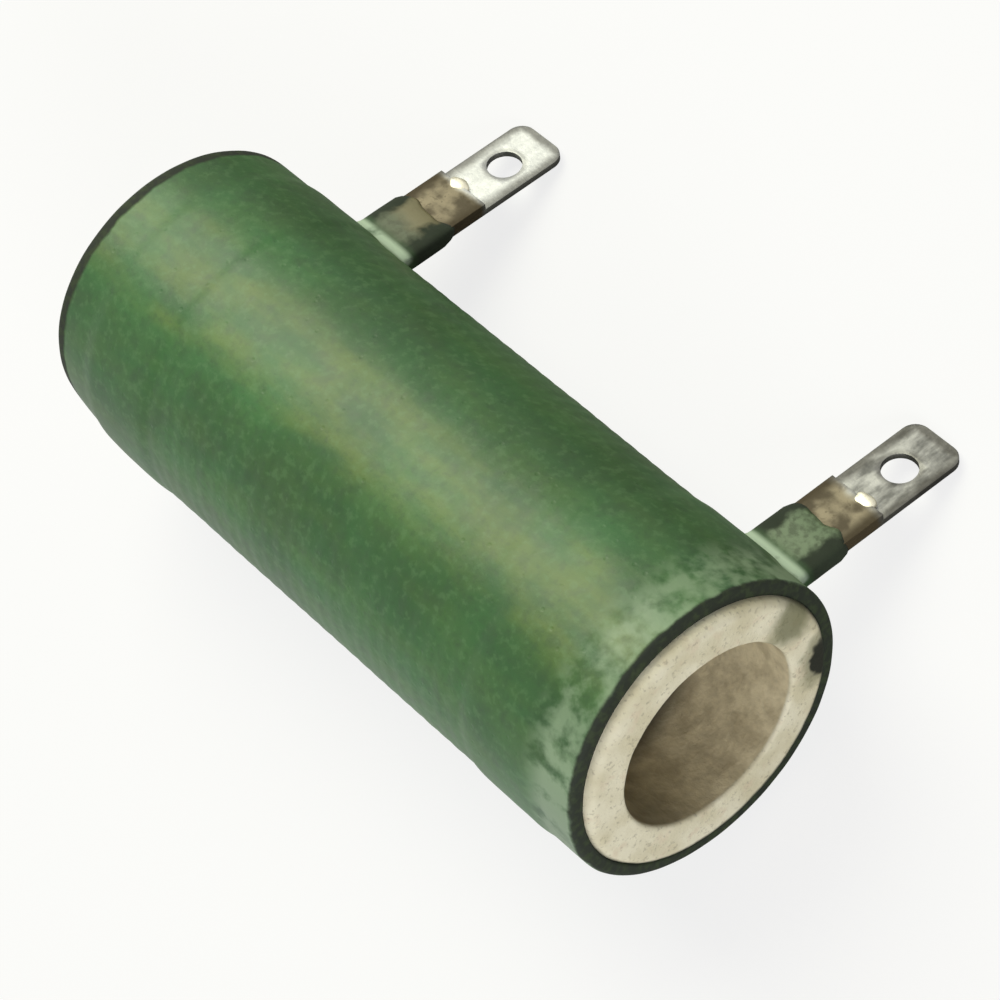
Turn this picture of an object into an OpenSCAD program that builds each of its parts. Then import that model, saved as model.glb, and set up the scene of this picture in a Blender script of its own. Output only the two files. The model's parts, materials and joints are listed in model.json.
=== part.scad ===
// Tubular wirewound resistor: a ceramic tube carries a single layer of resistance wire
// between two folded strip terminals, under a fired coat of vitreous enamel.
// The tube lies along X, and the part rests on its enamel and on the tips of its two lugs.

/* [Ceramic tube] */
// Length of the tube
tube_length = 51.8; // [40:0.1:90]
// Outer diameter of the tube, under the enamel
tube_outer_d = 18.8; // [17:0.1:30]
// Diameter of the mounting bore
tube_bore_d = 13; // [6:0.1:15]
// Chamfer on the edges of both ends
tube_edge = 0.2; // [0.1:0.05:0.8]

/* [Enamel coat] */
// Thickness of the coat over the winding
coat_thickness = 0.95; // [0.85:0.05:1.6]
// Rise of the coat over each terminal band
coat_hump = 0.15; // [0.05:0.05:0.4]
// Length of the slope on each side of a band
coat_slope = 1.5; // [0.5:0.1:2]
// Bare ceramic at each end of the tube
coat_setback = 0.25; // [0.1:0.05:1]
// Radius of the coat's rounded rim
coat_rim_r = 0.4; // [0.3:0.05:0.8]
// Thickness of the film on the lugs
film_thickness = 0.32; // [0.2:0.02:0.6]
// Thickness of the film at its upper edge
film_edge = 0.1; // [0.05:0.01:0.2]
// How far the film climbs up each lug
film_climb = 5; // [3:0.1:6.5]
// Radius of the meniscus where the coat turns up onto a lug
meniscus_r = 1.5; // [0.8:0.1:2]

/* [Terminals] */
// Width of the terminal strip
strip_width = 4.5; // [3:0.1:6]
// Thickness of the terminal strip
strip_thickness = 0.45; // [0.3:0.05:0.5]
// Inside radius of the bend from band to lug
bend_r = 0.5; // [0.3:0.05:0.8]
// Distance from each end of the tube to the middle of its lug
lug_inset = 7.05; // [6:0.05:12]
// Height of the lug's tip above the ceramic
lug_reach = 16.1; // [13:0.1:22]
// Height of the shorter ply above the ceramic
lug_overlap = 9.1; // [8:0.1:11]
// Corner radius of the tip
lug_corner_r = 1.1; // [0.3:0.1:1.4]
// Diameter of the solder hole
lug_hole_d = 2.4; // [1.2:0.1:2.6]
// Distance from the tip to the middle of the solder hole
lug_hole_inset = 3.5; // [2:0.1:4]

/* [Winding] */
// Diameter of the resistance wire
wire_d = 0.35; // [0.2:0.01:0.45]
// Least distance between neighbouring turns
wire_pitch = 1.2; // [0.8:0.05:3]

/* [Hidden] */
// Clearance between the wire and what lies round it
wire_gap = 0.05;
// Enamel between the winding and each band
wire_wall = 0.3;
// Straight pieces in one turn of the wire, and sides of its section
turn_pieces = 18;
wire_sides = 6;
// Steps across each slope of the coat, around a film section and up its meniscus
slope_steps = 6;
film_sides = 28;
meniscus_steps = 7;
// Exponent of the film's rounded section: 2 is an ellipse, higher is squarer
film_squareness = 5;
// Length over which the film thins out at its upper edge
film_taper = 0.8;
// Depth of the meniscus's rim below the coat's surface, and of the film's root below that
film_sink = 0.06;
film_root = 2;
// Overshoot of every cutting solid
over = 1;
$fn = 96;

tube_r = tube_outer_d / 2;
coat_r = tube_r + coat_thickness;
rest_r = coat_r + coat_hump;
coat_length = tube_length - 2 * coat_setback;
lug_x = tube_length / 2 - lug_inset;
lug_tip = tube_r + lug_reach;
short_tip = tube_r + lug_overlap;
// The part lies on its enamel with the lower edge of each tip on the same surface
lug_tilt = asin(rest_r / norm([lug_tip, strip_thickness])) - atan(strip_thickness / lug_tip);

// Centre of the bend, so that it touches both the band and the lug
bend_v = strip_thickness + bend_r;
bend_u = sqrt(pow(tube_r + bend_v, 2) - pow(bend_v, 2));
bend_angle = atan2(bend_v, bend_u);

// The wire runs as a many-sided helix that touches the tube at the middle of each side
wire_r = wire_d / 2;
wire_path_r = (tube_r + wire_gap) / cos(180 / turn_pieces) + wire_r;
wire_space = 2 * lug_x - strip_width - 2 * wire_wall;
wire_span = wire_space - wire_d - 2 * wire_gap;
wire_turns = floor(wire_span / wire_pitch);
wire_lead = wire_span / wire_turns;
wire_space_r = wire_path_r + wire_r + wire_gap;

// Turns a shape drawn on Z onto the axis of the tube
module along_tube() {
    rotate([0, 90, 0]) children();
}

// Sets a shape drawn in a lug's own frame, X up the lug, Y through it and Z along the tube
module at_lug(x) {
    rotate([-lug_tilt, 0, 0]) translate([x, 0, 0]) rotate([90, 0, 90]) children();
}

// Closed solid through a list of rings with the same number of points
module loft(rings) {
    n = len(rings[0]);
    last = len(rings) - 1;
    sides = [
        for (i = [0 : last - 1], j = [0 : n - 1])
            let (k = (j + 1) % n)
            each [[i * n + j, i * n + k, (i + 1) * n + k], [i * n + j, (i + 1) * n + k, (i + 1) * n + j]]
    ];
    start = [[for (j = [n - 1 : -1 : 0]) j]];
    end = [[for (j = [0 : n - 1]) last * n + j]];
    polyhedron([for (ring = rings) each ring], concat(sides, start, end));
}

// The tube's wall in section, with all four edges broken
module tube_section() {
    bore_r = tube_bore_d / 2;
    face = tube_length / 2;
    side = face - tube_edge;
    polygon([
        [tube_r, -side],
        [tube_r, side],
        [tube_r - tube_edge, face],
        [bore_r + tube_edge, face],
        [bore_r, side],
        [bore_r, -side],
        [bore_r + tube_edge, -face],
        [tube_r - tube_edge, -face],
    ]);
}

module ceramic_tube() {
    color("wheat") along_tube() rotate_extrude() tube_section();
}

// The wire's section at one angle of the helix
function wire_ring(angle) =
    let (x = wire_lead * angle / 360 - wire_span / 2)
    [
        for (i = [0 : wire_sides - 1])
            let (a = 360 * (i + 0.5) / wire_sides, r = wire_path_r + wire_r * cos(a))
            [x + wire_r * sin(a), r * cos(angle), r * sin(angle)]
    ];

module resistance_winding() {
    color("dimgray") loft([for (i = [0 : wire_turns * turn_pieces]) wire_ring(360 * i / turn_pieces)]);
}

// What the coat leaves free round the tube between the two bands
module winding_space() {
    along_tube() cylinder(r = wire_space_r, h = wire_space, center = true);
}

// Bend and straight leg on one side of the lug, in section
module leg_section(tip) {
    far = 2 * (bend_r + strip_thickness);
    to_tube = [-cos(bend_angle), -sin(bend_angle)];
    translate([bend_u, 0]) square([tip - bend_u, strip_thickness]);
    translate([bend_u, bend_v]) intersection() {
        difference() {
            circle(bend_r + strip_thickness);
            circle(bend_r);
        }
        polygon([[0, 0], far * to_tube, far * (to_tube + [0, -1]), [0, -far]]);
    }
}

// The strip in section: round the tube, out through two bends and along the lug as two plies
module strip_section() {
    far = 2 * tube_r;
    difference() {
        circle(tube_r + strip_thickness);
        circle(tube_r);
        polygon([[0, 0], far * [cos(bend_angle), -sin(bend_angle)], far * [cos(bend_angle), sin(bend_angle)]]);
    }
    leg_section(short_tip);
    mirror([0, 1]) leg_section(lug_tip);
}

// What the coat leaves free for one terminal, with the tube inside the band
module terminal_space(x) {
    at_lug(x) linear_extrude(strip_width, center = true) {
        circle(tube_r + strip_thickness);
        translate([0, -strip_thickness]) square([lug_tip, 2 * strip_thickness]);
        for (side = [-1, 1])
            difference() {
                polygon([[0, 0], [bend_u, 0], [bend_u, side * bend_v]]);
                translate([bend_u, side * bend_v]) circle(bend_r);
            }
    }
}

// What is trimmed off the strip: the two corners of the tip and the solder hole
module tip_trim() {
    rotate([90, 0, 0]) linear_extrude(4 * strip_thickness, center = true) {
        for (side = [-1, 1])
            translate([lug_tip - lug_corner_r, side * (strip_width / 2 - lug_corner_r)]) difference() {
                translate([0, side > 0 ? 0 : -2 * lug_corner_r]) square(2 * lug_corner_r);
                circle(lug_corner_r);
            }
        translate([lug_tip - lug_hole_inset, 0]) circle(d = lug_hole_d);
    }
}

module terminal(x) {
    color("silver") at_lug(x) difference() {
        linear_extrude(strip_width, center = true) strip_section();
        tip_trim();
    }
}

module front_terminal() {
    terminal(lug_x);
}

module rear_terminal() {
    terminal(-lug_x);
}

// Radius of the coat at a distance along the tube from the middle of a band
function hump_r(z) =
    let (s = (abs(z) - strip_width / 2) / coat_slope)
    coat_r + coat_hump * (1 + cos(180 * min(max(s, 0), 1))) / 2;

// Level crest as wide as the band, with a smooth slope down to the coat on each side
module hump_section() {
    crest = strip_width / 2;
    steps = [for (i = [0 : slope_steps]) crest + coat_slope * i / slope_steps];
    foot = crest + coat_slope;
    polygon(concat(
        [[tube_r, -foot]],
        [for (i = [slope_steps : -1 : 0]) [hump_r(steps[i]), -steps[i]]],
        [for (z = steps) [hump_r(z), z]],
        [[tube_r, foot]]
    ));
}

// The coat in section: a long bar with rounded rims, raised over each band
module coat_section() {
    half = coat_length / 2;
    translate([0, -half]) square([coat_r - coat_rim_r, coat_length]);
    translate([0, coat_rim_r - half]) square([coat_r, coat_length - 2 * coat_rim_r]);
    for (y = [coat_rim_r - half, half - coat_rim_r])
        translate([coat_r - coat_rim_r, y]) circle(coat_rim_r);
    for (x = [-lug_x, lug_x])
        translate([0, x]) hump_section();
}

// Rounded section of the film, the given distance off the strip and height above the coat
function film_ring(off, height) = [
    for (i = [0 : film_sides - 1])
        let (
            a = -360 * i / film_sides,
            e = 2 / film_squareness,
            v = (strip_thickness + off) * sign(cos(a)) * pow(abs(cos(a)), e),
            z = (strip_width / 2 + off) * sign(sin(a)) * pow(abs(sin(a)), e)
        )
        [sqrt(pow(hump_r(z), 2) - v * v) + height, v, z]
];

// Film that rises out of the coat in a meniscus and climbs the lug, with the lug still in it
module lug_film(x) {
    curve = [
        for (i = [0 : meniscus_steps])
            let (a = 90 * i / meniscus_steps)
            film_ring(film_thickness + meniscus_r * (1 - sin(a)), meniscus_r * (1 - cos(a)) - film_sink)
    ];
    at_lug(x) loft(concat(
        [film_ring(film_thickness + meniscus_r, -film_root)],
        curve,
        [film_ring(film_thickness, film_climb - film_taper), film_ring(film_edge, film_climb)]
    ));
}

module enamel_coat() {
    color("seagreen") difference() {
        union() {
            along_tube() rotate_extrude() coat_section();
            lug_film(lug_x);
            lug_film(-lug_x);
        }
        along_tube() cylinder(r = tube_r, h = tube_length + 2 * over, center = true);
        winding_space();
        terminal_space(lug_x);
        terminal_space(-lug_x);
    }
}

ceramic_tube();
resistance_winding();
front_terminal();
rear_terminal();
enamel_coat();
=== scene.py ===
# Looks of a tubular enamelled resistor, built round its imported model
import json
from functools import cached_property
from math import atan2, cos, pi, radians, sin, sqrt

import bmesh
import bpy
from mathutils import Matrix, Vector, noise


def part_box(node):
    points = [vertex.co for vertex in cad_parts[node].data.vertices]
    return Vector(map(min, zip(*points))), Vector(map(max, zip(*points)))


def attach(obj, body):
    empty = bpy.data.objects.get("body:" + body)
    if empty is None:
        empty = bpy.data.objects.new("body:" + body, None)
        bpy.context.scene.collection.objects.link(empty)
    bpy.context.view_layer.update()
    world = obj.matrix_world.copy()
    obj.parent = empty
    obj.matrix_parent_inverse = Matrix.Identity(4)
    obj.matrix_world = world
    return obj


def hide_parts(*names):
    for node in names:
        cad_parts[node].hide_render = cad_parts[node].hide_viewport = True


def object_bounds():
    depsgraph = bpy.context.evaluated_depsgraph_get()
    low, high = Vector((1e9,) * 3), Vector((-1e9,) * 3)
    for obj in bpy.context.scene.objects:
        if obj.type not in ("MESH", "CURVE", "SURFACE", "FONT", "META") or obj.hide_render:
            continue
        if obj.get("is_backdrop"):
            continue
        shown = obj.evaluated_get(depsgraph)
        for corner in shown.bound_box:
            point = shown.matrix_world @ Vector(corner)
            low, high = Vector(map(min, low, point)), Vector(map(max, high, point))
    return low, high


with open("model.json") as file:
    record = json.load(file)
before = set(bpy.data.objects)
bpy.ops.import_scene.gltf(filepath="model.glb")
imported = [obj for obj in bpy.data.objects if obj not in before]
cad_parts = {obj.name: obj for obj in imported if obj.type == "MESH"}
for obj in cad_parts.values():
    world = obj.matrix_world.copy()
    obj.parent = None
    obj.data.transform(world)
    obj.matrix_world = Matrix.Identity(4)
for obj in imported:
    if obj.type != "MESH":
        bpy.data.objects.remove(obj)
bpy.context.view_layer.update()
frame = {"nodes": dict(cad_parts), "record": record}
mm = 0.001
mergeDist = 0.001 * mm
scene = bpy.context.scene
scene.view_settings.view_transform = "Standard"


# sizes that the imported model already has
def mount(name):
    return next(m for m in frame["record"]["mounts"] if m["name"] == name)


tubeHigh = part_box("ceramic_tube")[1]
tubeHalf, tubeR = tubeHigh.x, tubeHigh.z
coatLow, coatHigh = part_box("enamel_coat")
coatHalf, bandTopR = coatHigh.x, -coatLow.z  # the coat is widest over the bands
solderHole = mount("front_solder_hole")
lugNormal = Vector(solderHole["axis"]).normalized()
lugOut = Vector((0, lugNormal.z, -lugNormal.y))  # along the lug, away from the tube
alongTube = Vector((1, 0, 0))
holeU = Vector(solderHole["pos_m"]).dot(lugOut)
lugX = solderHole["pos_m"][0]
holeR = solderHole["dims"]["r_mm"] * mm
stripT = solderHole["dims"]["length_mm"] * mm
boreR = mount("bore")["dims"]["r_mm"] * mm
stripLow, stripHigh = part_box("front_terminal")
stripW = stripHigh.x - stripLow.x
stripPoints = [v.co for v in frame["nodes"]["front_terminal"].data.vertices]
lugTip = max(p.dot(lugOut) for p in stripPoints)
upperPly = [p for p in stripPoints if p.dot(lugNormal) > stripT / 2 and p.dot(lugOut) > tubeR]
shortTip = max(p.dot(lugOut) for p in upperPly)
print(f"frame: tube {2 * tubeHalf / mm:.1f} mm long, lugs {lugTip / mm:.1f} mm out")


def lugPoint(x, u, v):
    return alongTube * x + lugOut * u + lugNormal * v


def clamp(value):
    return min(max(value, 0), 1)


# drawing of sections: each step adds to the end of a chain of edges
def penStart(bm, point):
    return bm.verts.new(point)


def penLine(bm, end, point, cuts=0):
    start = end.co.copy()
    for step in range(1, cuts + 2):
        end = bmesh.ops.extrude_vert_indiv(bm, verts=[end])["verts"][0]
        end.co = start.lerp(point, step / (cuts + 1))
    return end


def penArc(bm, end, centre, axis, angle, steps):
    turned = Matrix.Rotation(angle, 3, axis) @ (end.co - centre) + centre
    new = bmesh.ops.spin(bm, geom=[end], cent=centre, axis=axis, angle=angle, steps=steps,
                         dvec=(0, 0, 0))
    verts = [g for g in new["geom_last"] if isinstance(g, bmesh.types.BMVert)]
    verts[0].co = turned
    return verts[0]


def spinRound(bm, segments):  # turns the drawn section once round the tube's axis
    bmesh.ops.remove_doubles(bm, verts=bm.verts, dist=mergeDist)
    bmesh.ops.spin(bm, geom=bm.verts[:] + bm.edges[:], cent=(0, 0, 0), axis=alongTube, angle=2 * pi,
                   steps=segments, use_merge=True)
    bmesh.ops.remove_doubles(bm, verts=bm.verts, dist=mergeDist)


def finishMesh(bm, name, material, replaced=None):
    mesh = bpy.data.meshes.new(name)
    bm.to_mesh(mesh)
    bm.free()
    mesh.polygons.foreach_set("use_smooth", [True] * len(mesh.polygons))
    mesh.materials.append(material)
    piece = bpy.data.objects.new(name, mesh)
    scene.collection.objects.link(piece)
    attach(piece, "root")
    if replaced:
        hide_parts(replaced)
    print(f"{name}: {len(mesh.polygons)} faces")


# shader maths: a Wire is a socket that can be added to, multiplied and so on
class Wire:
    def __init__(self, shade, socket):
        self.shade = shade
        self.socket = socket

    def calc(self, operation, *values):
        return self.shade.node("Math", {"operation": operation}, dict(enumerate(values)))

    def __add__(self, other):
        return self.calc("ADD", self, other)

    def __radd__(self, other):
        return self.calc("ADD", other, self)

    def __sub__(self, other):
        return self.calc("SUBTRACT", self, other)

    def __rsub__(self, other):
        return self.calc("SUBTRACT", other, self)

    def __mul__(self, other):
        return self.calc("MULTIPLY", self, other)

    def __rmul__(self, other):
        return self.calc("MULTIPLY", other, self)

    def __pow__(self, other):
        return self.calc("POWER", self, other)

    def __abs__(self):
        return self.calc("ABSOLUTE", self)

    def most(self, other):
        return self.calc("MAXIMUM", self, other)

    def ease(self, low, high):  # smooth step from 0 at low to 1 at high
        sockets = {"Value": self, "From Min": low, "From Max": high}
        return self.shade.node("MapRange", {"interpolation_type": "SMOOTHSTEP"}, sockets)


# one material or world: node() adds any node, and the rest are short forms of it
class Shade:
    def __init__(self, owner):
        owner.use_nodes = True
        self.owner = owner
        self.tree = owner.node_tree
        self.tree.nodes.clear()

    def node(self, kind, settings=None, sockets=None, out=0):
        new = self.tree.nodes.new("ShaderNode" + kind)
        for key, value in (settings or {}).items():
            setattr(new, key, value)
        for key, value in (sockets or {}).items():
            if isinstance(value, Wire):
                self.tree.links.new(value.socket, new.inputs[key])
            else:
                new.inputs[key].default_value = value
        return Wire(self, new.outputs[out]) if new.outputs else None

    @cached_property
    def place(self):  # Object coordinates, in metres
        return self.node("TexCoord", out="Object")

    def vector(self, operation, first, second=(0, 0, 0), out=0):
        return self.node("VectorMath", {"operation": operation}, {0: first, 1: second}, out=out)

    def along(self, direction):  # distance from the origin along a direction
        return self.vector("DOT_PRODUCT", self.place, direction, out="Value")

    def apart(self, point):  # distance from a point
        return self.vector("DISTANCE", self.place, point, out="Value")

    def length(self, first, second):  # length of the sloping side over two distances
        both = self.node("CombineXYZ", None, {0: first, 1: second})
        return self.vector("LENGTH", both, out="Value")

    def cloud(self, size, detail=3.0, stretch=(1, 1, 1)):  # noise with features of a real size
        stretched = self.vector("MULTIPLY", self.place, stretch)
        sockets = {"Vector": stretched, "Scale": 1 / size, "Detail": detail}
        return self.node("TexNoise", None, sockets, out="Fac")

    def cells(self, size):
        sockets = {"Vector": self.place, "Scale": 1 / size}
        return self.node("TexVoronoi", None, sockets, out="Distance")

    def mix(self, factor, first, second):
        pair = [c if isinstance(c, Wire) else (*c, 1) for c in (first, second)]
        return self.node("Mix", {"data_type": "RGBA"}, {0: factor, 6: pair[0], 7: pair[1]}, out=2)

    def bump(self, height, distance):
        return self.node("Bump", None, {"Height": height, "Distance": distance, "Strength": 1.0})

    def finish(self, sockets):
        surface = self.node("BsdfPrincipled", None, sockets)
        self.node("OutputMaterial", None, {"Surface": surface})
        return self.owner


def newMaterial(name):
    return Shade(bpy.data.materials.new(name))


def srgb(red, green, blue):  # a colour as a picture shows it, in linear values
    return tuple(c / 12.92 if c <= 0.04045 else ((c + 0.055) / 1.055) ** 2.4
                 for c in (red / 255, green / 255, blue / 255))


# enamel coat: a spun body with a raised band at each terminal, and a film that climbs each lug
coat = {
    "thickness": 0.95 * mm,
    "rimR": 0.4 * mm,
    "rimSteps": 6,
    "endCuts": 2,
    "slope": 1.5 * mm,  # from a band's raised top down to the plain coat
    "wireRoom": 0.6 * mm,
    "wireWall": 0.3 * mm,
    "step": 0.22 * mm,
    "segments": 192,
    "rippleTurns": 26,
    "ripple": 0.012 * mm,
    "rippleFade": 1 * mm,  # before the bands
    "lugFade": 0.2 * mm,  # at the foot of the films
    "peel": 0.02 * mm,
    "peelSize": 1.6 * mm,
    "swell": 0.04 * mm,
    "swellSize": 9 * mm,
}
coatR = tubeR + coat["thickness"]

# the coat stops short of each end by the most on one side, and thins towards the rear end there
frontEdge = {
    "facing": 1,
    "side": Vector((0, 0.342, 0.94)),
    "short": 0.72 * mm,
    "power": 2,
    "thinning": 0,
    "reach": 2 * mm,
}
rearEdge = {
    "facing": -1,
    "side": Vector((0, -0.94, -0.342)),
    "short": 0.65 * mm,
    "power": 4,
    "thinning": 1.2,
    "reach": 7 * mm,
}
film = {
    "thickness": 0.32 * mm,
    "edge": 0.1 * mm,
    "climb": 5 * mm,
    "uneven": 0.45 * mm,
    "unevenSize": 1.3 * mm,
    "flankSteps": 4,
    "taper": 0.8 * mm,
    "taperBend": 0.35,
    "tuck": stripT / 8,
    "meniscusR": 1.5 * mm,
    "meniscusSteps": 8,
    "skirt": 0.7 * mm,
    "squareness": 5,
}
enamelFinish = {
    # green ground, with painted shade darkening the lug side and a band along the left flank
    "deep": srgb(38, 86, 33),
    "mid": srgb(52, 106, 50),
    "shadow": srgb(34, 66, 28),
    "patchSize": 8 * mm,
    "patchBand": (0.35, 0.65),
    "lugSide": (0.52 * coatR, 0.75 * coatR),
    "lugSideDeep": 0.4,
    "flankTop": (-0.25 * coatR, -0.45 * coatR),
    "flankFoot": (-0.8 * coatR, -0.6 * coatR),
    "flankDeep": 0.28,
    # olive streaks along the tube, most of them in a band along the top, where they paint a yellow
    # tint into the highlight
    "olive": srgb(122, 140, 56),
    "oliveLeast": 0.12,
    "oliveOnTop": 0.36,
    "topWay": (0, 0.06, 1),
    "top": (0.93 * coatR, 0.995 * coatR),
    "streakSize": 2 * mm,
    "streakStretch": (0.35, 1, 1),
    "streakBand": (0.3, 0.75),
    # mottle and specks
    "mottleSize": 1.3 * mm,
    "mottleBand": (0.5, 0.3),
    "mottleDark": 0.35,
    "pale": srgb(108, 150, 98),
    "speckSize": 0.55 * mm,
    "paleBand": (0.5, 0.7),
    "paleSpecks": 0.2,
    "darkBand": (0.46, 0.3),
    "darkSpecks": 0.28,
    # frost near the front end, most of it on the left
    "frost": srgb(156, 180, 148),
    "frostReach": (4.6 * mm, 2.2 * mm),
    "frostBand": (0.36, 0.64),
    "frostAmount": 0.54,
    "frostLeft": (-0.35 * coatR, -0.75 * coatR),
    "frostLeftMore": 0.3,
    "frostLeftSpread": 0.1,
    # painted shade: a dark, patchy rim along the rounded coat edge at both ends
    "rim": srgb(14, 24, 7),
    "rimWorn": srgb(36, 48, 22),
    "rimWornBand": (0.42, 0.68),
    "rimReach": (0.5 * mm, 0.2 * mm),
    "rimWander": 0.5 * mm,
    "rimFrontLess": 0.08 * mm,
    "rimRearMore": 0.55 * mm,
    # film on the lugs, browner and worn thin on the rear one
    "filmReach": (bandTopR + 1.0 * mm, bandTopR + 2.2 * mm),
    "filmAmount": 0.92,
    "filmMiddle": srgb(118, 138, 106),
    "filmDull": srgb(78, 94, 64),
    "filmDullBand": (0.4, 0.65),
    "filmRear": srgb(74, 74, 48),
    "filmRearAmount": 0.65,
    "filmThin": srgb(146, 134, 100),
    "filmThinReach": (bandTopR + 2.4 * mm, bandTopR + 4 * mm),
    "filmThinWander": 1.5 * mm,
    "filmThinAmount": 0.7,
    # painted shade: the film goes near black towards the lug's sides
    "filmEdge": srgb(20, 26, 11),
    "filmEdgeReach": (0.9 * mm, 1.8 * mm),
    "filmEdgeWander": 2.2 * mm,
    # painted highlight: a pale band round the upper side of each lug's root
    "pooled": srgb(214, 236, 212),
    "poolStart": (bandTopR + 0.4 * mm, bandTopR + 0.9 * mm),
    "poolStop": (bandTopR + 1.7 * mm, bandTopR + 1.2 * mm),
    "poolBand": (0.2, 0.5),
    "poolAmount": 0.8,
    # surface
    "ior": 1.5,
    "roughness": 0.36,
    "mottleRough": 0.12,
    "rimRough": 0.4,
    "filmEdgeRough": 0.4,
    "poolSmooth": 0.08,
    "relief": 0.02 * mm,
    "grainSize": 0.3 * mm,
    "grainRelief": 0.5,
    "mottleRelief": 0.5,
    "pitSize": 1.1 * mm,
    "pitBand": (0.16, 0.05),
    "pitRelief": 0.6,
    "endBlend": 1 * mm,  # over which the front half's finish gives way to the rear half's
}


def humpR(z):  # radius of the coat at a distance along the tube from a band's middle
    share = clamp((abs(z) - stripW / 2) / coat["slope"])
    return coatR + (bandTopR - coatR) * (1 + cos(pi * share)) / 2


def bodyR(x):
    return max(humpR(x - lugX), humpR(x + lugX))


def shortBy(edge, across):  # across is the distance from the axis towards the edge's side
    return edge["short"] * (0.5 + across * (0.5 / coatR)) ** edge["power"]


def filmPoint(side, turn, off, height):  # a point of the film's outline round a lug
    power = 2 / film["squareness"]
    v = (stripT + off) * abs(cos(turn)) ** power * (1 if cos(turn) > 0 else -1)
    z = (stripW / 2 + off) * abs(sin(turn)) ** power * (1 if sin(turn) > 0 else -1)
    return lugPoint(side * lugX + z, sqrt(humpR(z) ** 2 - v * v) + height, v)


def coatBody(bm):
    rim, half, steps, cuts = coat["rimR"], stripW / 2, coat["rimSteps"], coat["endCuts"]
    end = penStart(bm, lugPoint(-coatHalf, tubeR, 0))
    end = penLine(bm, end, lugPoint(-coatHalf, coatR - rim, 0), cuts)
    end = penArc(bm, end, lugPoint(rim - coatHalf, coatR - rim, 0), lugNormal, -pi / 2, steps)
    straight = 2 * (coatHalf - rim)
    end = penLine(bm, end, lugPoint(coatHalf - rim, coatR, 0), cuts=int(straight / coat["step"]))
    for vert in bm.verts:
        if abs(vert.co.x) < coatHalf - rim:
            vert.co = lugPoint(vert.co.x, bodyR(vert.co.x), 0)
    end = penArc(bm, end, lugPoint(coatHalf - rim, coatR - rim, 0), lugNormal, -pi / 2, steps)
    end = penLine(bm, end, lugPoint(coatHalf, tubeR, 0), cuts)
    bandR, roomR = tubeR + stripT, tubeR + coat["wireRoom"]
    room = lugX - half - coat["wireWall"]
    inside = [(lugX + half, tubeR), (lugX + half, bandR), (lugX - half, bandR),
              (lugX - half, tubeR), (room, tubeR), (room, roomR)]
    inside += [(-x, r) for x, r in reversed(inside)] + [(-coatHalf, tubeR)]
    for x, r in inside:
        end = penLine(bm, end, lugPoint(x, r, 0))
    spinRound(bm, coat["segments"])


def climbLug(bm, side):
    reach = film["thickness"] + film["meniscusR"] + film["skirt"]
    halfV, halfZ = stripT + reach, stripW / 2 + reach
    outside = coatR - coat["thickness"] / 3  # leaves the inner walls alone

    def underFilm(face):
        middle = face.calc_center_median()
        return (abs(middle.x - side * lugX) < halfZ and abs(middle.dot(lugNormal)) < halfV
                and middle.dot(lugOut) > outside)

    bmesh.ops.delete(bm, geom=[f for f in bm.faces if underFilm(f)], context="FACES")
    turnLayer = bm.verts.layers.float["turn"]
    edges = [e for e in bm.edges if e.is_boundary]
    for vert in {v for e in edges for v in e.verts}:
        vert[turnLayer] = atan2((vert.co.x - side * lugX) / halfZ, vert.co.dot(lugNormal) / halfV)
    steps, flanks = film["meniscusSteps"], film["flankSteps"]
    thick, bend, top = film["thickness"], film["meniscusR"], film["climb"]
    straight = top - film["taper"] - bend
    turns = [pi / 2 * i / steps for i in range(steps + 1)]
    rings = [(thick + bend * (1 - sin(a)), bend * (1 - cos(a))) for a in turns]
    rings += [(thick, bend + straight * (i / flanks)) for i in range(1, flanks + 1)]
    rings += [((thick + film["edge"]) / 2, top - film["taper"] * film["taperBend"]),
              (film["edge"], top), (-film["tuck"], top - film["edge"])]
    for off, height in rings:
        edges = extrudeRing(bm, edges, side, off, height)
    closed = bmesh.ops.holes_fill(bm, edges=edges, sides=0)["faces"]
    bmesh.ops.poke(bm, faces=closed)  # a fan, which comes out the same each time


def extrudeRing(bm, edges, side, off, height):
    turnLayer = bm.verts.layers.float["turn"]
    new = bmesh.ops.extrude_edge_only(bm, edges=edges)["geom"]
    for vert in (g for g in new if isinstance(g, bmesh.types.BMVert)):
        point = filmPoint(side, vert[turnLayer], off, height)
        ragged = noise.noise(point / film["unevenSize"]) * film["uneven"]
        vert.co = point + lugOut * (ragged * (height / film["climb"]) ** 2)
    return [g for g in new if isinstance(g, bmesh.types.BMEdge) and g.is_boundary]


def unevenCoat(bm):
    bm.normal_update()
    wound = lugX - stripW / 2
    lead = 2 * wound / coat["rippleTurns"]
    outside = coatR - coat["thickness"] / 2
    for vert in bm.verts:
        p = vert.co
        r = sqrt(p.y ** 2 + p.z ** 2)
        for edge in (frontEdge, rearEdge):
            share = clamp((p.x * edge["facing"] - coatHalf) / edge["reach"] + 1)
            short = shortBy(edge, p.dot(edge["side"])) * share ** 2
            inward = short * edge["thinning"] * clamp((r - tubeR) / coat["thickness"])
            p.x -= edge["facing"] * short
            p.yz = p.yz * (1 - inward / r)
        if r < outside:
            continue
        turn = atan2(p.dot(lugNormal), p.dot(lugOut))
        overWire = clamp((wound - abs(p.x)) / coat["rippleFade"])
        overWire *= clamp((bandTopR - r) / coat["lugFade"] + 1)
        height = coat["ripple"] * overWire * cos(2 * pi * p.x / lead - turn)
        height += coat["peel"] * noise.noise(p / coat["peelSize"])
        height += coat["swell"] * noise.noise(p / coat["swellSize"])
        vert.co = p + vert.normal * height


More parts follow.
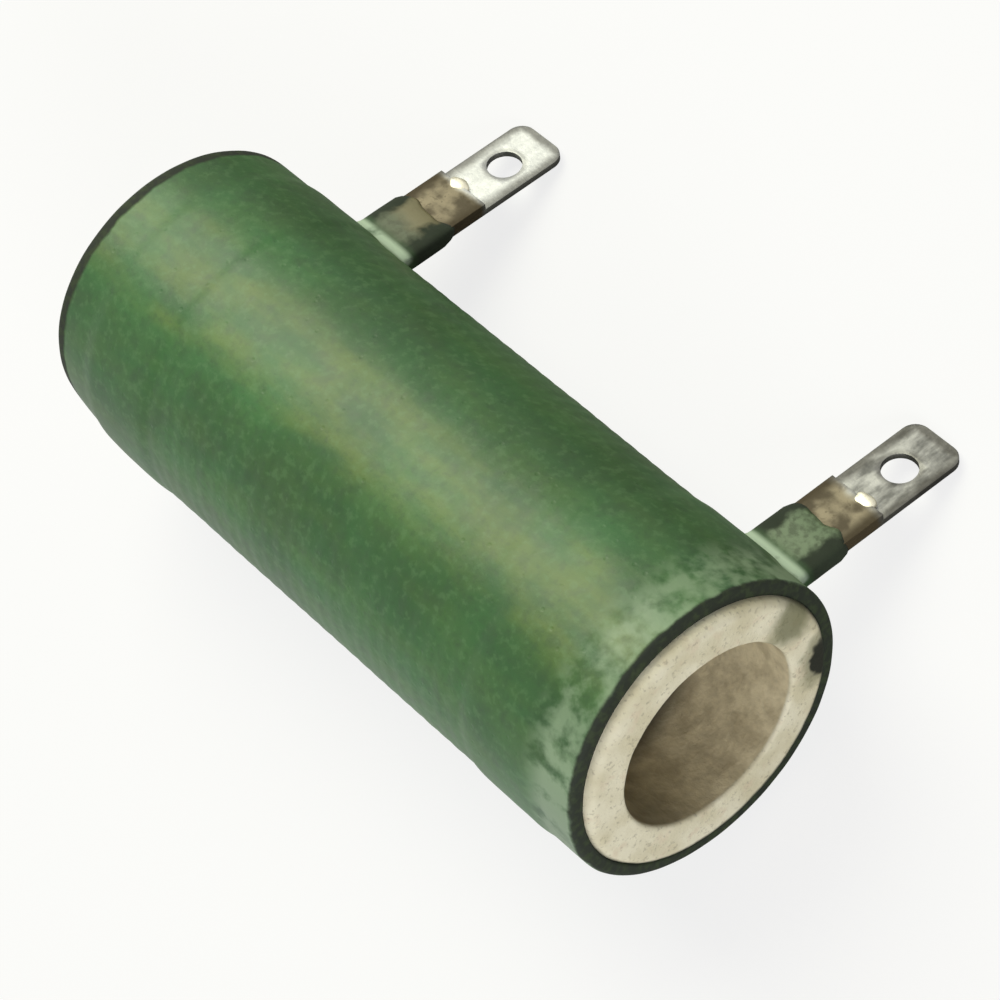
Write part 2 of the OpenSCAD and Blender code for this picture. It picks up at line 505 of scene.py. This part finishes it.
def enamelMaterial():
    tint = enamelFinish
    shade = newMaterial("firedEnamel")
    x, y = shade.along(alongTube), shade.along((0, 1, 0))
    out, through = shade.along(lugOut), shade.along(lugNormal)
    front, rear = x.ease(0, tint["endBlend"]), x.ease(0, -tint["endBlend"])
    frontShort = shortBy(frontEdge, shade.along(frontEdge["side"]))
    rearShort = shortBy(rearEdge, shade.along(rearEdge["side"]))
    fromEnd = coatHalf - abs(x) - front * frontShort - rear * rearShort
    fromLug = abs(abs(x) - lugX)
    patches = shade.cloud(tint["patchSize"], detail=2)
    mottle = shade.cloud(tint["mottleSize"], detail=6)
    streaks = shade.cloud(tint["streakSize"], detail=6, stretch=tint["streakStretch"])
    specks = shade.cloud(tint["speckSize"], detail=4)
    grain = shade.cloud(tint["grainSize"], detail=2)
    pits = shade.cells(tint["pitSize"]).ease(*tint["pitBand"])
    wander = mottle - 0.5

    green = shade.mix(patches.ease(*tint["patchBand"]), tint["deep"], tint["mid"])
    # olive streaks everywhere, with more in a band along the top as a painted yellow tint in the
    # highlight
    olive = tint["oliveLeast"] + tint["oliveOnTop"] * shade.along(tint["topWay"]).ease(*tint["top"])
    green = shade.mix(streaks.ease(*tint["streakBand"]) * olive, green, tint["olive"])
    # painted shade: darker on the lug side and in a band along the left flank; the same dark green
    # also serves the random mottle and specks
    flank = y.ease(*tint["flankTop"]) * y.ease(*tint["flankFoot"])
    sideShade = tint["lugSideDeep"] * y.ease(*tint["lugSide"]) + tint["flankDeep"] * flank
    green = shade.mix(sideShade, green, tint["shadow"])
    green = shade.mix(mottle.ease(*tint["mottleBand"]) * tint["mottleDark"], green, tint["shadow"])
    green = shade.mix(specks.ease(*tint["paleBand"]) * tint["paleSpecks"], green, tint["pale"])
    green = shade.mix(specks.ease(*tint["darkBand"]) * tint["darkSpecks"], green, tint["shadow"])

    left = y.ease(*tint["frostLeft"])
    frosted = front * fromEnd.ease(*tint["frostReach"])
    frosted = frosted * (mottle + tint["frostLeftSpread"] * left).ease(*tint["frostBand"])
    frosted = frosted * (tint["frostAmount"] + tint["frostLeftMore"] * left)
    green = shade.mix(frosted, green, tint["frost"])
    # painted shade: a dark, patchy rim at both ends of the coat
    ragged = fromEnd + wander * tint["rimWander"]
    ragged = ragged + front * tint["rimFrontLess"] - rear * tint["rimRearMore"]
    rim = ragged.ease(*tint["rimReach"])
    rimTint = shade.mix(specks.ease(*tint["rimWornBand"]), tint["rim"], tint["rimWorn"])
    green = shade.mix(rim, green, rimTint)

    onLug = out.ease(*tint["filmReach"])
    # painted shade: the film darkens towards the lug's sides
    edge = (fromLug + wander * tint["filmEdgeWander"]).ease(*tint["filmEdgeReach"])
    thin = rear * (out + wander * tint["filmThinWander"]).ease(*tint["filmThinReach"])
    filmTint = shade.mix(specks.ease(*tint["filmDullBand"]), tint["filmMiddle"], tint["filmDull"])
    filmTint = shade.mix(rear * tint["filmRearAmount"], filmTint, tint["filmRear"])
    filmTint = shade.mix(thin * tint["filmThinAmount"], filmTint, tint["filmThin"])
    filmTint = shade.mix(edge, filmTint, tint["filmEdge"])
    green = shade.mix(onLug * tint["filmAmount"], green, filmTint)
    # painted highlight: a pale band round the upper side of each lug's root, a little smoother
    # there
    glint = out.ease(*tint["poolStart"]) * out.ease(*tint["poolStop"])
    glint = glint * through.ease(0, stripT) * mottle.ease(*tint["poolBand"])
    green = shade.mix(glint * tint["poolAmount"], green, tint["pooled"])

    rough = tint["roughness"] + tint["mottleRough"] * mottle + tint["rimRough"] * rim
    rough = rough + tint["filmEdgeRough"] * onLug * edge - tint["poolSmooth"] * glint
    height = grain * tint["grainRelief"] + mottle * tint["mottleRelief"] - pits * tint["pitRelief"]
    relief = shade.bump(height, tint["relief"])
    return shade.finish({"Base Color": green, "Roughness": rough, "Normal": relief,
                         "IOR": tint["ior"]})


def enamelCoat():
    bm = bmesh.new()
    bm.verts.layers.float.new("turn")
    coatBody(bm)
    for side in (1, -1):
        climbLug(bm, side)
    bmesh.ops.recalc_face_normals(bm, faces=bm.faces)
    unevenCoat(bm)
    finishMesh(bm, "enamelCoat", enamelMaterial(), "enamel_coat")


# ceramic tube: a spun wall with rounded edges and slightly worn end faces
tube = {
    "outerEdgeR": 0.6 * mm,
    "outerSteps": 6,
    "boreEdgeR": 0.28 * mm,
    "boreSteps": 4,
    "segments": 160,
    "endRings": 8,
    "boreRings": 24,
    "wornBy": 0.03 * mm,
    "wornSize": 1.1 * mm,
}
ceramicFinish = {
    # bare cream ends
    "pale": srgb(240, 234, 208),
    "dull": srgb(220, 212, 181),
    "patchSize": 3 * mm,
    "patchBand": (0.35, 0.65),
    "pink": srgb(222, 205, 177),
    "wanderSize": 1.2 * mm,
    "pinkBand": (0.55, 0.75),
    "pinkAmount": 0.5,
    "speck": srgb(150, 140, 114),
    "speckBand": (0.55, 0.75),
    "speckAmount": 0.45,
    # browner bore, with painted shade far in and on its left wall
    "bore": srgb(236, 221, 182),
    "boreMouth": (boreR + 0.35 * mm, boreR + 0.2 * mm),
    "boreStart": (0.18 * mm, 0.4 * mm),
    "boreAmount": 0.9,
    "soot": srgb(176, 160, 124),
    "sootBand": (0.3, 0.7),
    "sootAmount": 0.7,
    "deepBore": srgb(38, 32, 20),
    "leftWall": (3 * mm, 6 * mm),
    "leftWallDark": 0.5,
    "farWall": (5.8 * mm, 8 * mm),
    "farWallLean": 0.25,
    "farWallDark": 0.93,
    # grey stain, and a dark spot with a grey halo, on the front end
    "stain": srgb(104, 106, 72),
    "stainAt": Vector((tubeHalf, 8.2 * mm, 1.5 * mm)),
    "stainReach": (2.6 * mm, 0.9 * mm),
    "stainAmount": 0.8,
    "burnt": srgb(26, 28, 16),
    "burntAt": Vector((tubeHalf, 8.3 * mm, -4.0 * mm)),
    "burntReach": (1.75 * mm, 1.2 * mm),
    "haloReach": (2.7 * mm, 1.7 * mm),
    "haloAmount": 0.6,
    "drift": 1.6 * mm,
    # painted shade: a dark line where the coat meets the end, wider on the lower side
    "joint": srgb(24, 32, 14),
    "jointReach": (tubeR - 0.3 * mm, tubeR + 0.05 * mm),
    "jointLean": 0.05,
    "jointDrift": 0.1,
    "jointAmount": 0.9,
    # surface
    "ior": 1.45,
    "roughness": 0.82,
    "grainRough": 0.1,
    "relief": 0.05 * mm,
    "grainSize": 0.28 * mm,
    "grainRelief": 0.7,
    "poreSize": 0.5 * mm,
    "poreRelief": 0.3,
}


def ceramicMaterial():
    tint = ceramicFinish
    shade = newMaterial("bareCeramic")
    radius = shade.length(shade.along(lugOut), shade.along(lugNormal))
    depth = tubeHalf - abs(shade.along(alongTube))
    left, high = shade.along((0, -1, 0)), shade.along((0, 0, 1))
    patches = shade.cloud(tint["patchSize"])
    wander = shade.cloud(tint["wanderSize"], detail=2)
    grain = shade.cloud(tint["grainSize"], detail=2)
    pores = shade.cells(tint["poreSize"])
    drift = (wander - 0.5) * tint["drift"]

    cream = shade.mix(patches.ease(*tint["patchBand"]), tint["pale"], tint["dull"])
    cream = shade.mix(wander.ease(*tint["pinkBand"]) * tint["pinkAmount"], cream, tint["pink"])
    cream = shade.mix(grain.ease(*tint["speckBand"]) * tint["speckAmount"], cream, tint["speck"])
    sooty = wander.ease(*tint["sootBand"]) * tint["sootAmount"]
    brown = shade.mix(sooty, tint["bore"], tint["soot"])
    # painted shade on the bore's left wall and far inside
    brown = shade.mix(left.ease(*tint["leftWall"]) * tint["leftWallDark"], brown, tint["deepBore"])
    farIn = (depth + tint["farWallLean"] * left).ease(*tint["farWall"])
    brown = shade.mix(farIn * tint["farWallDark"], brown, tint["deepBore"])
    inBore = radius.ease(*tint["boreMouth"]) * depth.ease(*tint["boreStart"])
    cream = shade.mix(inBore * tint["boreAmount"], cream, brown)

    stained = (shade.apart(tint["stainAt"]) + drift).ease(*tint["stainReach"])
    cream = shade.mix(stained * tint["stainAmount"], cream, tint["stain"])
    fromDarkSpot = shade.apart(tint["burntAt"]) + drift
    cream = shade.mix(fromDarkSpot.ease(*tint["haloReach"]) * tint["haloAmount"], cream, tint["stain"])
    cream = shade.mix(fromDarkSpot.ease(*tint["burntReach"]), cream, tint["burnt"])
    # painted shade where the coat meets the end, wider on the lower side
    lowered = radius - tint["jointLean"] * high + drift * tint["jointDrift"]
    cream = shade.mix(lowered.ease(*tint["jointReach"]) * tint["jointAmount"], cream, tint["joint"])

    rough = tint["roughness"] + tint["grainRough"] * grain
    relief = shade.bump(grain * tint["grainRelief"] + pores * tint["poreRelief"], tint["relief"])
    return shade.finish({"Base Color": cream, "Roughness": rough, "Normal": relief,
                         "IOR": tint["ior"]})


def ceramicTube():
    bm = bmesh.new()
    outer, inner = tube["outerEdgeR"], tube["boreEdgeR"]
    outerSteps, innerSteps = tube["outerSteps"], tube["boreSteps"]
    side, lip = tubeHalf - outer, tubeHalf - inner
    end = penStart(bm, lugPoint(-side, tubeR, 0))
    end = penLine(bm, end, lugPoint(side, tubeR, 0), cuts=tube["boreRings"])
    end = penArc(bm, end, lugPoint(side, tubeR - outer, 0), lugNormal, -pi / 2, outerSteps)
    end = penLine(bm, end, lugPoint(tubeHalf, boreR + inner, 0), cuts=tube["endRings"])
    end = penArc(bm, end, lugPoint(lip, boreR + inner, 0), lugNormal, -pi / 2, innerSteps)
    end = penLine(bm, end, lugPoint(-lip, boreR, 0), cuts=tube["boreRings"])
    end = penArc(bm, end, lugPoint(-lip, boreR + inner, 0), lugNormal, -pi / 2, innerSteps)
    end = penLine(bm, end, lugPoint(-tubeHalf, tubeR - outer, 0), cuts=tube["endRings"])
    penArc(bm, end, lugPoint(-side, tubeR - outer, 0), lugNormal, -pi / 2, outerSteps)
    spinRound(bm, tube["segments"])
    bmesh.ops.recalc_face_normals(bm, faces=bm.faces)
    bm.normal_update()
    for vert in bm.verts:
        if abs(vert.co.x) > side:
            lumpy = 0.5 + noise.noise(vert.co / tube["wornSize"])
            vert.co -= vert.normal * tube["wornBy"] * lumpy
    finishMesh(bm, "ceramicTube", ceramicMaterial(), "ceramic_tube")


# terminals: one strip each, round the tube and out as two plies, the upper one shorter,
# with a bead of solder at its end
strip = {
    "bendR": 0.5 * mm,
    "bendSteps": 5,
    "hoopSteps": 60,
    "plyGap": 0.006 * mm,
    "columns": 20,
    "holeCells": 5,
    "cellSlack": 0.05,
    "cornerR": 1.1 * mm,
    "cornerSteps": 8,
    "edgeR": 0.07 * mm,
    "edgeSteps": 2,
    "edgeAngle": radians(50),
}
solder = {
    "across": 0.85 * mm,
    "along": 0.6 * mm,
    "height": 0.36 * mm,
    "aside": 0.55 * mm,
    "uneven": 0.15,
    "lumps": 1.3,
    "around": 32,
    "rows": 20,
}
stripFinish = {
    # scaled metal next to the enamel
    "scaleDark": srgb(86, 77, 58),
    "scaleLight": srgb(160, 149, 124),
    "scaleEdge": srgb(66, 56, 34),
    "wanderSize": 1.2 * mm,
    "scaleBand": (0.35, 0.65),
    "grainBand": (0.55, 0.75),
    "grainDark": 0.5,
    # painted shade towards the strip's sides
    "edgeReach": (1.2 * mm, 2.1 * mm),
    "edgeWander": 0.8 * mm,
    # tinned tip, lighter on the rear lug
    "tinDark": srgb(98, 98, 94),
    "tinLight": srgb(166, 166, 160),
    "streakSize": 0.7 * mm,
    "streakStretch": (1, 0.35, 0.35),
    "streakBand": (0.3, 0.7),
    "tinReach": (shortTip - 0.6 * mm, shortTip + 0.2 * mm),
    "tinWander": 1.2 * mm,
    "tinClean": srgb(212, 214, 212),
    "tinCleanAmount": 0.6,
    "endBlend": 1 * mm,
    # painted shade along the tin's sides, at the tip and round the hole
    "tinEdge": srgb(70, 68, 62),
    "tinEdgeAmount": 0.75,
    "tipReach": (lugTip - 0.9 * mm, lugTip - 0.3 * mm),
    "tipWander": 0.6 * mm,
    "holeReach": (holeR + 0.5 * mm, holeR + 0.1 * mm),
    "holeAmount": 0.6,
    # surface
    "roughness": 0.62,
    "tinSmooth": 0.24,
    "grainRough": 0.12,
    "metallic": 0.35,
    "tinMetallic": 0.6,
    "relief": 0.03 * mm,
    "grainSize": 0.3 * mm,
    "grainRelief": 0.5,
    "streakRelief": 0.5,
}
solderFinish = {
    "bright": srgb(230, 225, 204),
    "dull": srgb(166, 166, 160),
    "dullBand": (0.55, 0.8),
    "grainSize": 0.3 * mm,
    "roughness": 0.42,
    "grainRough": 0.16,
    "metallic": 0.9,
    "relief": 0.01 * mm,
}


def terminalMaterial():
    tint = stripFinish
    shade = newMaterial("tinnedStrip")
    x, out = shade.along(alongTube), shade.along(lugOut)
    fromLug = abs(abs(x) - lugX)
    rear = x.ease(0, -tint["endBlend"])
    clouds = shade.cloud(tint["wanderSize"])
    grain = shade.cloud(tint["grainSize"])
    streaks = shade.cloud(tint["streakSize"], stretch=tint["streakStretch"])
    wander = clouds - 0.5
    tinned = (out + wander * tint["tinWander"]).ease(*tint["tinReach"])
    edge = (fromLug + wander * tint["edgeWander"]).ease(*tint["edgeReach"])
    atTip = (out + wander * tint["tipWander"]).ease(*tint["tipReach"])
    atHole = shade.length(fromLug, out - holeU).ease(*tint["holeReach"])

    scale = shade.mix(clouds.ease(*tint["scaleBand"]), tint["scaleDark"], tint["scaleLight"])
    # painted shade towards the strip's sides, together with dark grain specks
    edgeShadeAndSpecks = edge.most(grain.ease(*tint["grainBand"]) * tint["grainDark"])
    scale = shade.mix(edgeShadeAndSpecks, scale, tint["scaleEdge"])
    tin = shade.mix(streaks.ease(*tint["streakBand"]), tint["tinDark"], tint["tinLight"])
    tin = shade.mix(rear * tint["tinCleanAmount"], tin, tint["tinClean"])
    # painted shade along the sides, at the tip and round the hole
    paintedEdgeShade = edge.most(atTip).most(atHole * tint["holeAmount"])
    tin = shade.mix(paintedEdgeShade * tint["tinEdgeAmount"], tin, tint["tinEdge"])
    colour = shade.mix(tinned, scale, tin)

    rough = tint["roughness"] - tint["tinSmooth"] * tinned + tint["grainRough"] * grain
    metallic = tint["metallic"] + tint["tinMetallic"] * tinned
    height = grain * tint["grainRelief"] + streaks * tint["streakRelief"]
    relief = shade.bump(height, tint["relief"])
    return shade.finish({"Base Color": colour, "Roughness": rough, "Metallic": metallic,
                         "Normal": relief})


def solderMaterial():
    tint = solderFinish
    shade = newMaterial("brightSolder")
    grain = shade.cloud(tint["grainSize"])
    colour = shade.mix(grain.ease(*tint["dullBand"]), tint["bright"], tint["dull"])
    rough = tint["roughness"] + tint["grainRough"] * grain
    relief = shade.bump(grain, tint["relief"])
    return shade.finish({"Base Color": colour, "Roughness": rough, "Metallic": tint["metallic"],
                         "Normal": relief})


def stripChain(bm, x):
    bend, gap, bends = strip["bendR"], strip["plyGap"], strip["bendSteps"]
    bendV = stripT + bend
    bendU = sqrt((tubeR + bendV) ** 2 - bendV ** 2)
    lean = atan2(bendV, bendU)
    cell = stripW / strip["columns"]
    end = penStart(bm, lugPoint(x, shortTip, gap))
    end = penLine(bm, end, lugPoint(x, bendU, gap), cuts=int((shortTip - bendU) / cell))
    end = penArc(bm, end, lugPoint(x, bendU, bendV), alongTube, -(pi / 2 - lean), bends)
    end = penArc(bm, end, Vector((x, 0, 0)), alongTube, 2 * pi - 2 * lean, strip["hoopSteps"])
    end = penArc(bm, end, lugPoint(x, bendU, -bendV), alongTube, -(pi / 2 - lean), bends)
    end.co = lugPoint(x, bendU, -gap)
    beforeHole = holeU - strip["holeCells"] * cell
    afterHole = holeU + strip["holeCells"] * cell
    corner = lugTip - strip["cornerR"]
    end = penLine(bm, end, lugPoint(x, beforeHole, -gap), cuts=int((beforeHole - bendU) / cell))
    end = penLine(bm, end, lugPoint(x, afterHole, -gap), cuts=2 * strip["holeCells"] - 1)
    end = penLine(bm, end, lugPoint(x, corner, -gap), cuts=int((corner - afterHole) / cell))
    steps = strip["cornerSteps"]
    for step in range(1, steps + 1):
        u = corner + strip["cornerR"] * sin(pi / 2 * step / steps)
        end = penLine(bm, end, lugPoint(x, u, -gap))


def shapeTip(bm, x):  # opens the solder hole and rounds the corners of the long ply
    cell = stripW / strip["columns"]
    r, corner, half = strip["cornerR"], lugTip - strip["cornerR"], stripW / 2
    square = (strip["holeCells"] + strip["cellSlack"]) * cell

    def onLong(vert):
        return vert.co.dot(lugNormal) < 0 and vert.co.dot(lugOut) > shortTip

    def inSquare(vert):
        return (onLong(vert) and abs(vert.co.x - x) < square
                and abs(vert.co.dot(lugOut) - holeU) < square)

    hole = [f for f in bm.faces if all(inSquare(v) for v in f.verts)]
    around = {v for f in hole for v in f.verts}
    bmesh.ops.delete(bm, geom=hole, context="FACES")
    for vert in (v for v in around if v.is_valid):
        flat = Vector((vert.co.x - x, vert.co.dot(lugOut) - holeU)).normalized() * holeR
        vert.co = lugPoint(x + flat.x, holeU + flat.y, -strip["plyGap"])
    for vert in bm.verts:
        u = vert.co.dot(lugOut)
        if onLong(vert) and u > corner:
            width = half - r + sqrt(max(r * r - (u - corner) ** 2, 0))
            vert.co.x = x + (vert.co.x - x) * width / half


def terminal(name, x, replaced, material):
    bm = bmesh.new()
    stripChain(bm, x - stripW / 2)
    edges = bm.edges[:]
    for _ in range(strip["columns"]):
        new = bmesh.ops.extrude_edge_only(bm, edges=edges)["geom"]
        verts = {g for g in new if isinstance(g, bmesh.types.BMVert)}
        bmesh.ops.translate(bm, verts=list(verts), vec=alongTube * (stripW / strip["columns"]))
        edges = [g for g in new if isinstance(g, bmesh.types.BMEdge) and verts.issuperset(g.verts)]
    shapeTip(bm, x)
    bmesh.ops.recalc_face_normals(bm, faces=bm.faces)
    farSide = min(bm.faces, key=lambda f: f.calc_center_median().dot(lugOut))
    if farSide.normal.dot(lugOut) > 0:
        bmesh.ops.reverse_faces(bm, faces=bm.faces)
    bmesh.ops.solidify(bm, geom=bm.faces[:], thickness=-stripT)
    bmesh.ops.recalc_face_normals(bm, faces=bm.faces)
    sharp = [e for e in bm.edges if e.is_manifold and e.calc_face_angle() > strip["edgeAngle"]]
    bmesh.ops.bevel(bm, geom=sharp, offset=strip["edgeR"], segments=strip["edgeSteps"], profile=0.5,
                    affect="EDGES", material=-1, clamp_overlap=True)
    finishMesh(bm, name, material, replaced)


def solderBead(name, x, material):
    bm = bmesh.new()
    bmesh.ops.create_uvsphere(bm, u_segments=solder["around"], v_segments=solder["rows"], radius=1)
    for vert in bm.verts:
        lump = noise.noise(vert.co * solder["lumps"] + Vector((x / mm, 0, 0)))
        p = vert.co * (1 + solder["uneven"] * lump)
        vert.co = lugPoint(x + p.x * solder["across"], shortTip + p.y * solder["along"],
                           stripT / 2 + p.z * solder["height"])
    bmesh.ops.recalc_face_normals(bm, faces=bm.faces)
    finishMesh(bm, name, material)


# winding: hidden under the coat, so its own solid stays and only gets its finish
wireFinish = {
    "dark": srgb(92, 88, 84),
    "light": srgb(128, 118, 104),
    "patchSize": 2 * mm,
    "roughness": 0.4,
    "patchRough": 0.2,
    "metallic": 0.9,
}


def windingMaterial():
    tint = wireFinish
    shade = newMaterial("oxidisedWire")
    patches = shade.cloud(tint["patchSize"])
    colour = shade.mix(patches, tint["dark"], tint["light"])
    rough = tint["roughness"] + tint["patchRough"] * patches
    return shade.finish({"Base Color": colour, "Roughness": rough, "Metallic": tint["metallic"]})


# camera at the photograph's angle, and the white surroundings
view = {
    "azimuth": radians(87.19),
    "elevation": radians(56.76),
    "roll": radians(-46.7),
    "distance": 259.7 * mm,
    "target": Vector((2.82, 2.77, -1.75)) * mm,
    "lens": 151.2,
    "sensor": 36,
    "clipStart": 10 * mm,
}


def placeCamera():
    az, el, roll = view["azimuth"], view["elevation"], view["roll"]
    forward = Vector((-cos(el) * sin(az), cos(el) * cos(az), -sin(el)))
    side = forward.cross(Vector((0, 0, 1))).normalized()
    up = side.cross(forward)
    right = side * cos(roll) + up * sin(roll)
    top = up * cos(roll) - side * sin(roll)
    data = bpy.data.cameras.new("photoCamera")
    data.lens, data.sensor_width, data.clip_start = view["lens"], view["sensor"], view["clipStart"]
    camera = bpy.data.objects.new("photoCamera", data)
    turn = Matrix((right, top, -forward)).transposed().to_4x4()
    camera.matrix_world = Matrix.Translation(view["target"] - forward * view["distance"]) @ turn
    scene.collection.objects.link(camera)
    scene.camera = camera


studio = {
    "floorSize": 4.0,
    "floorSeen": (0.95, 0.95, 0.95),
    "floorBounce": (0.3, 0.3, 0.3),
    "floorGlow": 0.8,
    "floorGlowInGloss": 0.03,
    "glossEdge": (-0.005, 0.032),  # reflections see a white floor only away from the lugs
    "ambient": 0.1,
    "lamps": (
        # name, place, size across, size along, watts, colour
        ("overhead", (-0.33, 0.14, 0.48), 0.5, 0.5, 3.4, (1, 1, 0.8)),
        ("left", (0.3, -0.55, 0.06), 0.4, 0.25, 0.4, (1, 1, 1)),
        ("front", (0.66, -0.24, 0.22), 0.4, 0.4, 3.3, (1, 1, 1)),
    ),
}


def raysOf(shade, kind):
    return shade.node("LightPath", out=f"Is {kind} Ray")


def seenRays(shade):
    return raysOf(shade, "Camera").most(raysOf(shade, "Transmission"))


def paleFloor():
    bm = bmesh.new()
    bmesh.ops.create_grid(bm, x_segments=1, y_segments=1, size=studio["floorSize"])
    bmesh.ops.translate(bm, verts=bm.verts, vec=(0, 0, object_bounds()[0][2]))
    mesh = bpy.data.meshes.new("floor")
    bm.to_mesh(mesh)
    bm.free()
    floor = bpy.data.objects.new("floor", mesh)
    scene.collection.objects.link(floor)
    floor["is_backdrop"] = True
    shade = newMaterial("paleFloor")
    lightSide = shade.along((0, -1, 0)).ease(*studio["glossEdge"])
    inGloss = studio["floorGlowInGloss"] + (1 - studio["floorGlowInGloss"]) * lightSide
    glow = shade.node("Emission", None, {"Color": (1, 1, 1, 1), "Strength": 1.0})
    white = shade.node("BsdfDiffuse", None, {"Color": (*studio["floorSeen"], 1)})
    grey = shade.node("BsdfDiffuse", None, {"Color": (*studio["floorBounce"], 1)})
    seen = shade.node("MixShader", None, {0: studio["floorGlow"], 1: white, 2: glow})
    surface = shade.node("MixShader", None, {0: seenRays(shade), 1: grey, 2: seen})
    gloss = raysOf(shade, "Glossy") * inGloss
    surface = shade.node("MixShader", None, {0: gloss, 1: surface, 2: glow})
    shade.node("OutputMaterial", None, {"Surface": surface})
    mesh.materials.append(shade.owner)


def whiteRoom():
    shade = Shade(bpy.data.worlds.new("whiteRoom"))
    direct = seenRays(shade).most(raysOf(shade, "Glossy"))
    level = studio["ambient"] + (1 - studio["ambient"]) * direct
    back = shade.node("Background", None, {"Color": (1, 1, 1, 1), "Strength": level})
    shade.node("OutputWorld", None, {"Surface": back})
    scene.world = shade.owner
    for name, place, across, along, watts, colour in studio["lamps"]:
        lamp = bpy.data.lights.new(name, "AREA")
        lamp.shape, lamp.size, lamp.size_y = "RECTANGLE", across, along
        lamp.energy, lamp.color = watts, colour
        holder = bpy.data.objects.new(name, lamp)
        facing = (-Vector(place)).to_track_quat("-Z", "Y").to_matrix().to_4x4()
        holder.matrix_world = Matrix.Translation(place) @ facing
        scene.collection.objects.link(holder)


placeCamera()
print("camera placed")
enamelCoat()
ceramicTube()
tinned, bright = terminalMaterial(), solderMaterial()
terminal("frontTerminal", lugX, "front_terminal", tinned)
terminal("rearTerminal", -lugX, "rear_terminal", tinned)
solderBead("frontSolder", lugX + solder["aside"], bright)
solderBead("rearSolder", -lugX - solder["aside"], bright)
winding = frame["nodes"]["resistance_winding"]
winding.data.materials.clear()
winding.data.materials.append(windingMaterial())
print("pieces made")
paleFloor()
whiteRoom()
print("studio lit")
